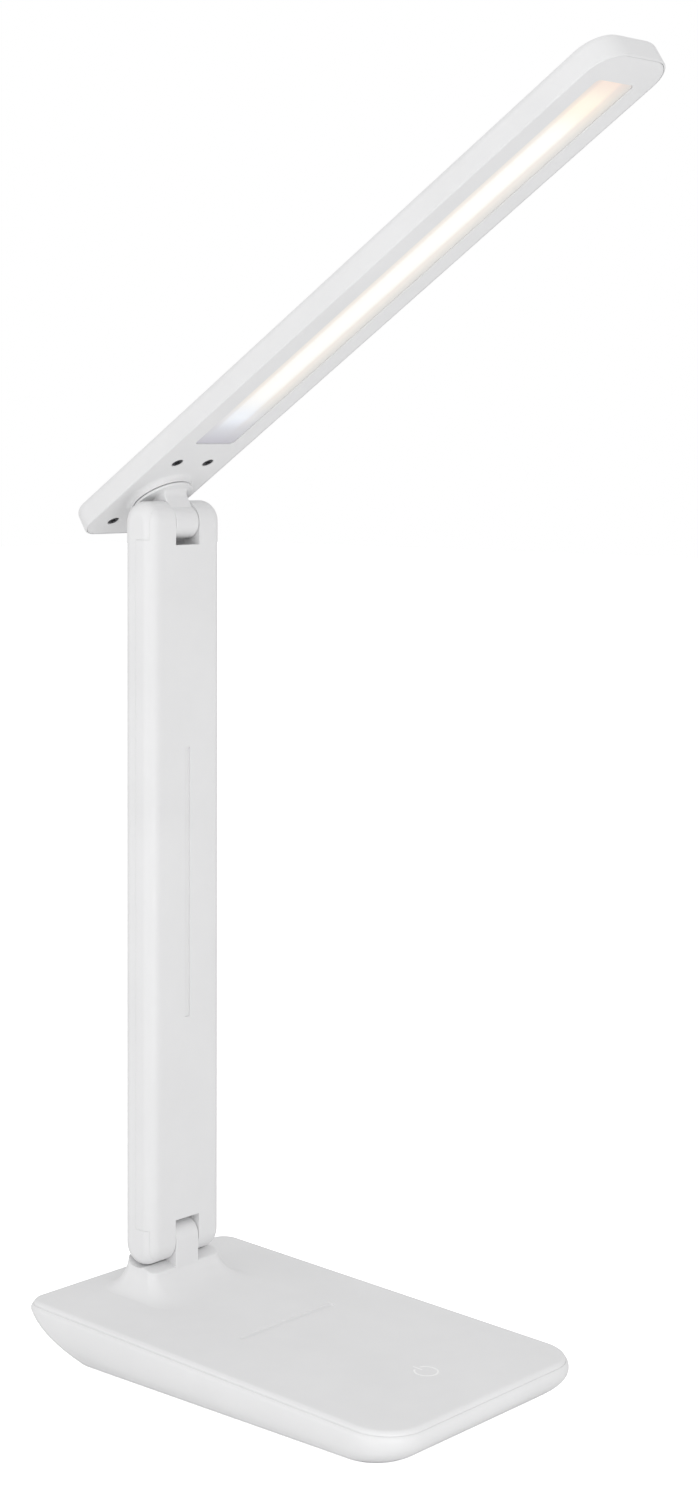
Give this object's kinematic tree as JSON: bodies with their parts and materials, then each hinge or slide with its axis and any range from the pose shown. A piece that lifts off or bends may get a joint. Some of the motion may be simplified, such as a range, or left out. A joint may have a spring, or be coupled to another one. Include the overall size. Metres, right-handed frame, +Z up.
{
  "type": "folding led desk lamp",
  "caption": "Folding desk lamp with a weighted wedge base, a flat arm hinged at both ends and a long slim LED head that tilts and swivels.",
  "frame": {"origin": "centre of the foot pad's resting face, under the middle of the base", "axes": "+Z up; -Y toward the user and along the base to its low front edge, the arm stands at +Y; +X along both hinge axes, to the user's right"},
  "size_m": [0.108, 0.2522, 0.4676],
  "materials": {
    "white_shell": "satin moulded ABS with a very fine spark texture",
    "black_steel": "blackened steel screw heads",
    "zinc_steel": "zinc-plated steel",
    "pad_rubber": "matt silicone sheet",
    "mark_white": "smooth translucent inlay",
    "circuit_board": "solder-masked laminate",
    "spring_bronze": "bare bronze wire",
    "lead_sheath": "soft insulated lead",
    "friction_nylon": "dense nylon disc",
    "light_diffuser": "opal, lit warm white",
    "reflector_white": "glossy white film",
    "led_board_metal": "white solder mask on aluminium",
    "led_package": "phosphor-filled package"
  },
  "bodies": {
    "base": {"base_cover": "white_shell", "base_tray": "white_shell", "ballast_plate": "zinc_steel", "foot_pad": "pad_rubber", "base_screws": "zinc_steel", "ballast_screws": "zinc_steel", "power_icon": "mark_white", "control_board": "circuit_board", "touch_spring": "spring_bronze", "socket_board": "circuit_board", "power_socket": "zinc_steel", "supply_lead": "lead_sheath", "riser_lead": "lead_sheath"},
    "arm": {"arm_channel": "white_shell", "arm_cover": "white_shell", "arm_screws": "zinc_steel", "arm_lead": "lead_sheath", "lower_bracket": "zinc_steel", "lower_pin": "zinc_steel", "lower_nut": "zinc_steel", "lower_spring_washers": "zinc_steel", "lower_friction_discs": "friction_nylon", "upper_bracket": "zinc_steel", "upper_pin": "zinc_steel", "upper_nut": "zinc_steel", "upper_spring_washers": "zinc_steel", "upper_friction_discs": "friction_nylon"},
    "neck": {"neck": "white_shell", "swivel_washer": "zinc_steel", "swivel_nut": "zinc_steel"},
    "head": {"head_shell": "white_shell", "head_panel": "white_shell", "swivel_plate": "zinc_steel", "head_screws": "black_steel", "diffuser": "light_diffuser", "reflector": "reflector_white", "led_board": "led_board_metal", "leds": "led_package", "head_lead": "lead_sheath"}
  },
  "joints": [
    {"name": "arm_fold", "type": "hinge", "parent": "base", "child": "arm", "pos_m": [0, 0.063, 0.0376], "axis": [1, 0, 0], "range_deg": [0, 90]},
    {"name": "head_tilt", "type": "hinge", "parent": "arm", "child": "neck", "pos_m": [0, 0.063, 0.3084], "axis": [1, 0, 0], "range_deg": [-57.5, 122.5]},
    {"name": "head_swivel", "type": "hinge", "parent": "neck", "child": "head", "pos_m": [0, 0.06443, 0.30749], "axis": [0, 0.5373, 0.8434], "range_deg": [-90, 90]}
  ]
}
